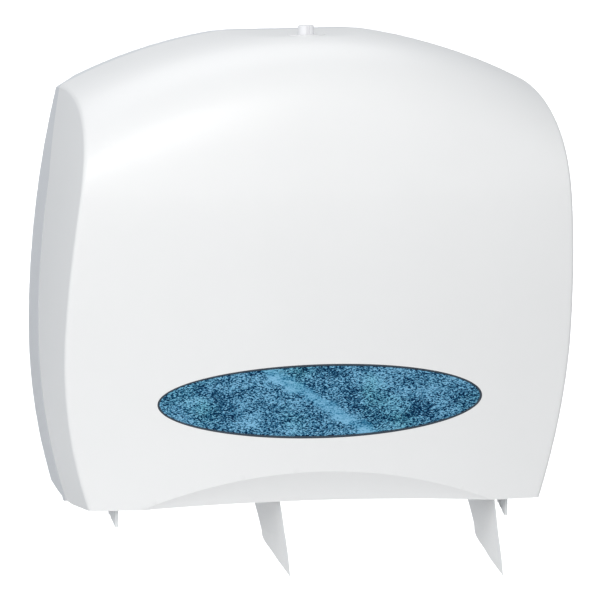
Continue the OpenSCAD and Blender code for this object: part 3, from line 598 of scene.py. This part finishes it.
def shader(name):
    material = bpy.data.materials.new(name)
    material.use_nodes = True
    tree = material.node_tree
    return material, tree, tree.nodes["Principled BSDF"]


def add(tree, kind, **settings):
    node = tree.nodes.new(kind)
    for key, value in settings.items():
        setattr(node, key, value)
    return node


def maths(tree, operation, a, b):
    """Math node of two values, each a number or another node's output."""
    node = add(tree, "ShaderNodeMath", operation=operation)
    for socket, item in zip(node.inputs, (a, b)):
        if isinstance(item, (int, float)):
            socket.default_value = item
        else:
            tree.links.new(item, socket)
    return node.outputs[0]


def noise(tree, coords, scale, detail=4.0, rough=0.55, stretch=(1, 1, 1), turn=(0, 0, 0)):
    mapping = add(tree, "ShaderNodeMapping")
    mapping.inputs["Scale"].default_value = stretch
    mapping.inputs["Rotation"].default_value = turn
    tree.links.new(coords.outputs["Object"], mapping.inputs["Vector"])
    texture = add(tree, "ShaderNodeTexNoise")
    texture.inputs["Scale"].default_value = scale
    texture.inputs["Detail"].default_value = detail
    texture.inputs["Roughness"].default_value = rough
    tree.links.new(mapping.outputs["Vector"], texture.inputs["Vector"])
    return texture


def ramp(tree, source, stops):
    node = add(tree, "ShaderNodeValToRGB")
    elements = node.color_ramp.elements
    while len(elements) < len(stops):
        elements.new(0.5)
    for element, (where, colour) in zip(elements, stops):
        element.position = where
        element.color = (*colour, 1.0)
    tree.links.new(source, node.inputs["Fac"])
    return node


def smooth_range(tree, source, low, high):
    """Falls smoothly from 1 at low to 0 at high."""
    node = add(tree, "ShaderNodeMapRange", interpolation_type="SMOOTHSTEP")
    node.inputs["From Min"].default_value = high
    node.inputs["From Max"].default_value = low
    tree.links.new(source, node.inputs["Value"])
    return node.outputs["Result"]


def bump(tree, bsdf, source, strength, distance, under=None):
    node = add(tree, "ShaderNodeBump")
    node.inputs["Strength"].default_value = strength
    node.inputs["Distance"].default_value = distance
    tree.links.new(source, node.inputs["Height"])
    if under is not None:
        tree.links.new(under.outputs["Normal"], node.inputs["Normal"])
    tree.links.new(node.outputs["Normal"], bsdf.inputs["Normal"])
    return node


def let_light_through(bsdf, scale):
    """Light spreads inside the material over a distance of scale, in metres."""
    bsdf.inputs["Subsurface Weight"].default_value = 1.0
    bsdf.inputs["Subsurface Radius"].default_value = (1.0, 1.0, 1.0)
    bsdf.inputs["Subsurface Scale"].default_value = scale


def grey(level):
    return (level, level, level)


def moulded(name, colour, rough, spread=0.03, grain=900.0, depth=0.00006, coat=0.0):
    """Plastic or board with a fine surface grain and slightly uneven tone."""
    material, tree, bsdf = shader(name)
    coords = add(tree, "ShaderNodeTexCoord")
    large = noise(tree, coords, 9.0, 3.0)
    low = tuple(c * (1 - spread) for c in colour)
    tone = ramp(tree, large.outputs["Fac"], [(0.35, low), (0.65, colour)])
    tree.links.new(tone.outputs["Color"], bsdf.inputs["Base Color"])
    fine = noise(tree, coords, grain, 2.0)
    bump(tree, bsdf, fine.outputs["Fac"], 0.35, depth)
    dull, shiny = grey(rough * 1.08), grey(rough * 0.92)
    shine = ramp(tree, large.outputs["Fac"], [(0.3, shiny), (0.7, dull)])
    tree.links.new(shine.outputs["Color"], bsdf.inputs["Roughness"])
    bsdf.inputs["Coat Weight"].default_value = coat
    bsdf.inputs["Coat Roughness"].default_value = 0.2
    return material


def thin_moulded(name, colour, rough):
    """Moulded plastic that is thin enough to let light through."""
    material = moulded(name, colour, rough, 0.03, 620.0, 0.00012)
    let_light_through(material.node_tree.nodes["Principled BSDF"], 0.004)
    return material


def granite(name):
    """Pale and dark blue stone print: fine dark specks that crowd in clouds, and one pale
    vein across the middle with a darker shoulder beside it."""
    material, tree, bsdf = shader(name)
    coords = add(tree, "ShaderNodeTexCoord")
    specks = noise(tree, coords, 960.0, 2.0, 0.65, (0.62, 1, 1.4), (0, 0.3, 0))
    specks.inputs["Distortion"].default_value = 0.6
    grains = noise(tree, coords, 2300.0, 1.0, 0.5).outputs["Fac"]
    clouds = noise(tree, coords, 60.0, 5.0, 0.68, (0.7, 1, 1.5), (0, -0.55, 0))
    patches = noise(tree, coords, 12.0, 3.0, 0.6, (0.7, 1, 1.8), (0, -0.6, 0))
    cloudy = maths(tree, "SUBTRACT", clouds.outputs["Fac"], 0.5)
    patchy = maths(tree, "SUBTRACT", patches.outputs["Fac"], 0.5)

    # distance from the vein's middle line, in metres, with a wavering edge
    vein_slope, vein_drop = math.radians(31), 0.0855
    across = add(tree, "ShaderNodeVectorMath", operation="DOT_PRODUCT")
    across.inputs[1].default_value = (math.sin(vein_slope), 0, math.cos(vein_slope))
    tree.links.new(coords.outputs["Object"], across.inputs[0])
    from_line = maths(tree, "ADD", across.outputs["Value"], vein_drop)
    from_line = maths(tree, "ADD", from_line, maths(tree, "MULTIPLY", cloudy, 0.022))
    vein = smooth_range(tree, maths(tree, "ABSOLUTE", from_line, 0.0), 0.0025, 0.0065)
    from_shoulder = maths(tree, "SUBTRACT", from_line, 0.014)
    shade = smooth_range(tree, maths(tree, "ABSOLUTE", from_shoulder, 0.0), 0.004, 0.022)

    mixed = maths(tree, "ADD", maths(tree, "MULTIPLY", specks.outputs["Fac"], 0.80),
                  maths(tree, "MULTIPLY", grains, 0.20))
    contrast = maths(tree, "SUBTRACT", 2.6, maths(tree, "MULTIPLY", vein, 1.7))
    mixed = maths(tree, "MULTIPLY", maths(tree, "SUBTRACT", mixed, 0.5), contrast)
    total = maths(tree, "ADD", mixed, 0.5)
    total = maths(tree, "ADD", total, maths(tree, "MULTIPLY", cloudy, 0.92))
    total = maths(tree, "ADD", total, maths(tree, "MULTIPLY", patchy, 0.28))
    total = maths(tree, "ADD", total, maths(tree, "MULTIPLY", vein, 0.10))
    total = maths(tree, "SUBTRACT", total, maths(tree, "MULTIPLY", shade, 0.05))
    colours = ramp(tree, total, [
        (0.345, (0.0002, 0.016, 0.054)),
        (0.455, (0.0010, 0.072, 0.168)),
        (0.510, (0.040, 0.202, 0.350)),
        (0.560, (0.118, 0.345, 0.532)),
        (0.700, (0.228, 0.492, 0.705)),
    ])
    greenish = noise(tree, coords, 24.0, 2.0)
    tint = ramp(tree, greenish.outputs["Fac"], [(0.5, (1, 1, 1)), (0.8, (0.78, 1.02, 0.86))])
    mix = add(tree, "ShaderNodeMix", data_type="RGBA", blend_type="MULTIPLY")
    mix.inputs["Factor"].default_value = 1.0
    tree.links.new(colours.outputs["Color"], mix.inputs["A"])
    tree.links.new(tint.outputs["Color"], mix.inputs["B"])
    tree.links.new(mix.outputs["Result"], bsdf.inputs["Base Color"])
    bump(tree, bsdf, grains, 0.08, 0.00003)
    bsdf.inputs["Roughness"].default_value = 0.34
    bsdf.inputs["Specular IOR Level"].default_value = 0.04
    return material


def tissue(name):
    """Soft paper with fibres and a light quilted emboss."""
    material, tree, bsdf = shader(name)
    coords = add(tree, "ShaderNodeTexCoord")
    fibres = noise(tree, coords, 1400.0, 3.0, 0.7, (1, 1, 0.5))
    tone = ramp(tree, fibres.outputs["Fac"], [(0.3, grey(0.90)), (0.7, grey(0.97))])
    tree.links.new(tone.outputs["Color"], bsdf.inputs["Base Color"])
    first = bump(tree, bsdf, fibres.outputs["Fac"], 0.4, 0.00008)
    dots = add(tree, "ShaderNodeTexVoronoi")
    dots.inputs["Scale"].default_value = 260.0
    dots.inputs["Randomness"].default_value = 0.25
    tree.links.new(coords.outputs["Object"], dots.inputs["Vector"])
    bump(tree, bsdf, dots.outputs["Distance"], 0.25, 0.00015, first)
    bsdf.inputs["Roughness"].default_value = 0.92
    bsdf.inputs["Specular IOR Level"].default_value = 0.15
    bsdf.inputs["Sheen Weight"].default_value = 0.8
    bsdf.inputs["Sheen Roughness"].default_value = 0.6
    let_light_through(bsdf, 0.0015)
    return material


def wound(name, x, z, colour, pitch):
    """Roll of paper: fine rings about its axis at x and z, over a soft surface."""
    material, tree, bsdf = shader(name)
    coords = add(tree, "ShaderNodeTexCoord")
    mapping = add(tree, "ShaderNodeMapping")
    mapping.inputs["Location"].default_value = (-x, 0, -z)
    tree.links.new(coords.outputs["Object"], mapping.inputs["Vector"])
    flat = add(tree, "ShaderNodeVectorMath", operation="MULTIPLY")
    flat.inputs[1].default_value = (1, 0, 1)
    tree.links.new(mapping.outputs["Vector"], flat.inputs[0])
    length = add(tree, "ShaderNodeVectorMath", operation="LENGTH")
    tree.links.new(flat.outputs["Vector"], length.inputs[0])
    wobble = noise(tree, coords, 30.0, 2.0)
    turns = maths(tree, "MULTIPLY", length.outputs["Value"], 1.0 / pitch)
    turns = maths(tree, "ADD", turns, wobble.outputs["Fac"])
    rings = maths(tree, "FRACT", turns, 0.0)
    darker = tuple(c * 0.86 for c in colour)
    tone = ramp(tree, rings, [(0.0, darker), (0.35, colour), (1.0, colour)])
    tree.links.new(tone.outputs["Color"], bsdf.inputs["Base Color"])
    fibres = noise(tree, coords, 1200.0, 3.0, 0.7)
    first = bump(tree, bsdf, fibres.outputs["Fac"], 0.4, 0.00012)
    bump(tree, bsdf, rings, 0.25, 0.0001, first)
    bsdf.inputs["Roughness"].default_value = 0.93
    bsdf.inputs["Specular IOR Level"].default_value = 0.15
    return material


def plated(name, colour, rough):
    """Plated steel with fine drawn lines."""
    material, tree, bsdf = shader(name)
    coords = add(tree, "ShaderNodeTexCoord")
    lines = noise(tree, coords, 500.0, 3.0, 0.6, (0.06, 1, 1))
    darker = tuple(c * 0.86 for c in colour)
    tone = ramp(tree, lines.outputs["Fac"], [(0.3, darker), (0.7, colour)])
    tree.links.new(tone.outputs["Color"], bsdf.inputs["Base Color"])
    bump(tree, bsdf, lines.outputs["Fac"], 0.2, 0.00004)
    bsdf.inputs["Metallic"].default_value = 1.0
    bsdf.inputs["Roughness"].default_value = rough
    return material


MATERIALS = {
    "cover_white": moulded(
        "cover_white", (0.835, 0.836, 0.838), 0.44, 0.012, 1500.0, 0.00003, 0.08),
    "base_white": moulded("base_white", (0.70, 0.715, 0.74), 0.62, 0.05, 620.0, 0.00022),
    "button_white": moulded(
        "button_white", (0.84, 0.84, 0.86), 0.35, 0.02, 1500.0, 0.00003, 0.2),
    "granite_blue": granite("granite_blue"),
    "seal": moulded("seal", (0.03, 0.052, 0.078), 0.6, 0.2),
    "inner_plastic": moulded("inner_plastic", (0.60, 0.61, 0.63), 0.5, 0.05, 800.0, 0.00008),
    "dark_plastic": moulded("dark_plastic", (0.02, 0.02, 0.023), 0.48, 0.2, 800.0, 0.00008),
    "hub_blue": moulded("hub_blue", (0.15, 0.27, 0.42), 0.45, 0.08, 800.0, 0.00008),
    "steel": plated("steel", (0.55, 0.56, 0.58), 0.3),
    "plated_steel": plated("plated_steel", (0.62, 0.63, 0.65), 0.36),
    "tissue": tissue("tissue"),
    "core_board": moulded("core_board", (0.40, 0.27, 0.15), 0.85, 0.12, 700.0, 0.00015),
}


def set_material(obj, material):
    obj.data.materials.clear()
    obj.data.materials.append(material)


def dress_nodes():
    """Gives each CAD node its slot's material, and some a material of their own."""
    slot_of = {p["node"]: p["material_slot"] for p in frame["record"]["subparts"]}
    for node_name, obj in nodes.items():
        set_material(obj, MATERIALS[slot_of[node_name]])
        smooth(obj, 30)
    thin_white = thin_moulded("tear_bar_white", (0.86, 0.875, 0.89), 0.5)
    for node_name in ("tear_bar_left", "tear_bar_middle", "tear_bar_right"):
        set_material(nodes[node_name], thin_white)
    for node_name, (cx, ch, _) in ROLLS.items():
        paper = wound(
            node_name + "_paper", cx * MM, (ch - MOUNT_H) * MM, (0.87, 0.87, 0.865), 0.0011)
        set_material(nodes[node_name], paper)


def stand_in(obj, body, slot_name, replaced):
    """Puts obj in the place of a CAD node."""
    set_material(obj, MATERIALS[slot_name])
    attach(obj, body)
    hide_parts(replaced)


def hang_paper(name, replaced, roll, x, edge_h, drop, rise, seed):
    """Hangs a roll's paper over the tear bar's edge at x and edge_h. Its front corner
    drops below the bottom edge by drop, and the tear rises by rise to the rear."""
    tail, length, area = make_tail(name, ROLLS[roll], x, edge_h, drop, rise, seed)
    stand_in(tail, "base", "tissue", replaced)


dress_nodes()
stand_in(make_cover(), "cover", "cover_white", "cover_shell")
stand_in(make_lens(), "cover", "granite_blue", "window_lens")
stand_in(make_gasket(), "cover", "seal", "window_gasket")
hang_paper("paper_middle", "main_tail", "main_roll",
           x=-28.0, edge_h=20.5, drop=55.5, rise=19.9, seed=0.4)
hang_paper("paper_right", "stub_tail", "stub_roll",
           x=142.5, edge_h=20.0, drop=59.9, rise=22.0, seed=2.1)

# ---- floor, light and camera ----

FLOOR_Z = -0.46
VIEW_AZIMUTH = math.radians(15.35)
VIEW_ELEVATION = math.radians(5.72)
VIEW_DISTANCE = 12.0


def make_stage():
    """Plain pale floor."""
    size, level = 40.0, FLOOR_Z
    floor = new_object("floor", [
        (-size, -size, level), (size, -size, level), (size, size, level), (-size, size, level),
    ], [(0, 1, 2, 3)])
    material, tree, bsdf = shader("floor_pale")
    coords = add(tree, "ShaderNodeTexCoord")
    wide = noise(tree, coords, 0.8, 2.0)
    tone = ramp(tree, wide.outputs["Fac"], [(0.3, grey(0.70)), (0.7, grey(0.73))])
    tree.links.new(tone.outputs["Color"], bsdf.inputs["Base Color"])
    bsdf.inputs["Roughness"].default_value = 1.0
    bsdf.inputs["Specular IOR Level"].default_value = 0.0
    floor.data.materials.append(material)


def area_light(name, where, target, size, power, colour=(1, 1, 1), turn=0.0):
    data = bpy.data.lights.new(name, "AREA")
    data.shape = "RECTANGLE"
    data.size, data.size_y = size
    data.energy = power
    data.color = colour
    light = bpy.data.objects.new(name, data)
    light.location = where
    aim = Vector(target) - Vector(where)
    light.rotation_euler = aim.to_track_quat("-Z", "Y").to_euler()
    light.rotation_euler.rotate_axis("Z", turn)
    bpy.context.scene.collection.objects.link(light)
    return light


def make_lights():
    """Soft key, fill and top lights on the object, and one on the floor behind it."""
    world = bpy.data.worlds.new("studio")
    world.use_nodes = True
    background = world.node_tree.nodes["Background"]
    background.inputs["Color"].default_value = (0.93, 0.965, 1.0, 1.0)
    background.inputs["Strength"].default_value = 0.535
    bpy.context.scene.world = world
    aim = (0, -0.07, 0.02)
    area_light("key", (-0.62, -2.39, 1.12), aim, (1.4, 1.5), 36.4, (1.0, 0.982, 0.955))
    area_light("fill", (-2.30, -1.30, 0.46), aim, (1.2, 1.4), 7.5, (0.90, 0.95, 1.0))
    area_light("top", (0.0, 1.06, 2.12), aim, (2.2, 1.6), 16.0)
    # a long box with a grid, hung low behind the object, whitens the floor there
    behind, height = 6.4, 0.74
    x, y = behind * math.sin(VIEW_AZIMUTH), behind * math.cos(VIEW_AZIMUTH)
    box = area_light(
        "backdrop", (x, y, height), (x, y, FLOOR_Z), (2.2, 10.6), 116.0, turn=-VIEW_AZIMUTH)
    box.data.spread = math.radians(60)


def make_camera():
    """Camera at the photograph's viewing angle."""
    ray = Vector((math.sin(VIEW_AZIMUTH) * math.cos(VIEW_ELEVATION),
                  math.cos(VIEW_AZIMUTH) * math.cos(VIEW_ELEVATION),
                  -math.sin(VIEW_ELEVATION)))
    right = Vector((math.cos(VIEW_AZIMUTH), -math.sin(VIEW_AZIMUTH), 0.0))
    up = right.cross(ray)
    middle = Vector((0.0, -0.070, 0.0)) - right * 0.00561 - up * 0.02447
    data = bpy.data.cameras.new("camera")
    data.lens = 938.0
    data.sensor_width = 36.0
    data.clip_start = 1.0
    data.clip_end = 80.0
    camera = bpy.data.objects.new("camera", data)
    camera.location = middle - ray * VIEW_DISTANCE
    camera.rotation_euler = ray.to_track_quat("-Z", "Y").to_euler()
    bpy.context.scene.collection.objects.link(camera)
    bpy.context.scene.camera = camera


make_stage()
make_lights()
make_camera()
bpy.context.scene.view_settings.view_transform = "Standard"
bpy.context.scene.view_settings.look = "None"
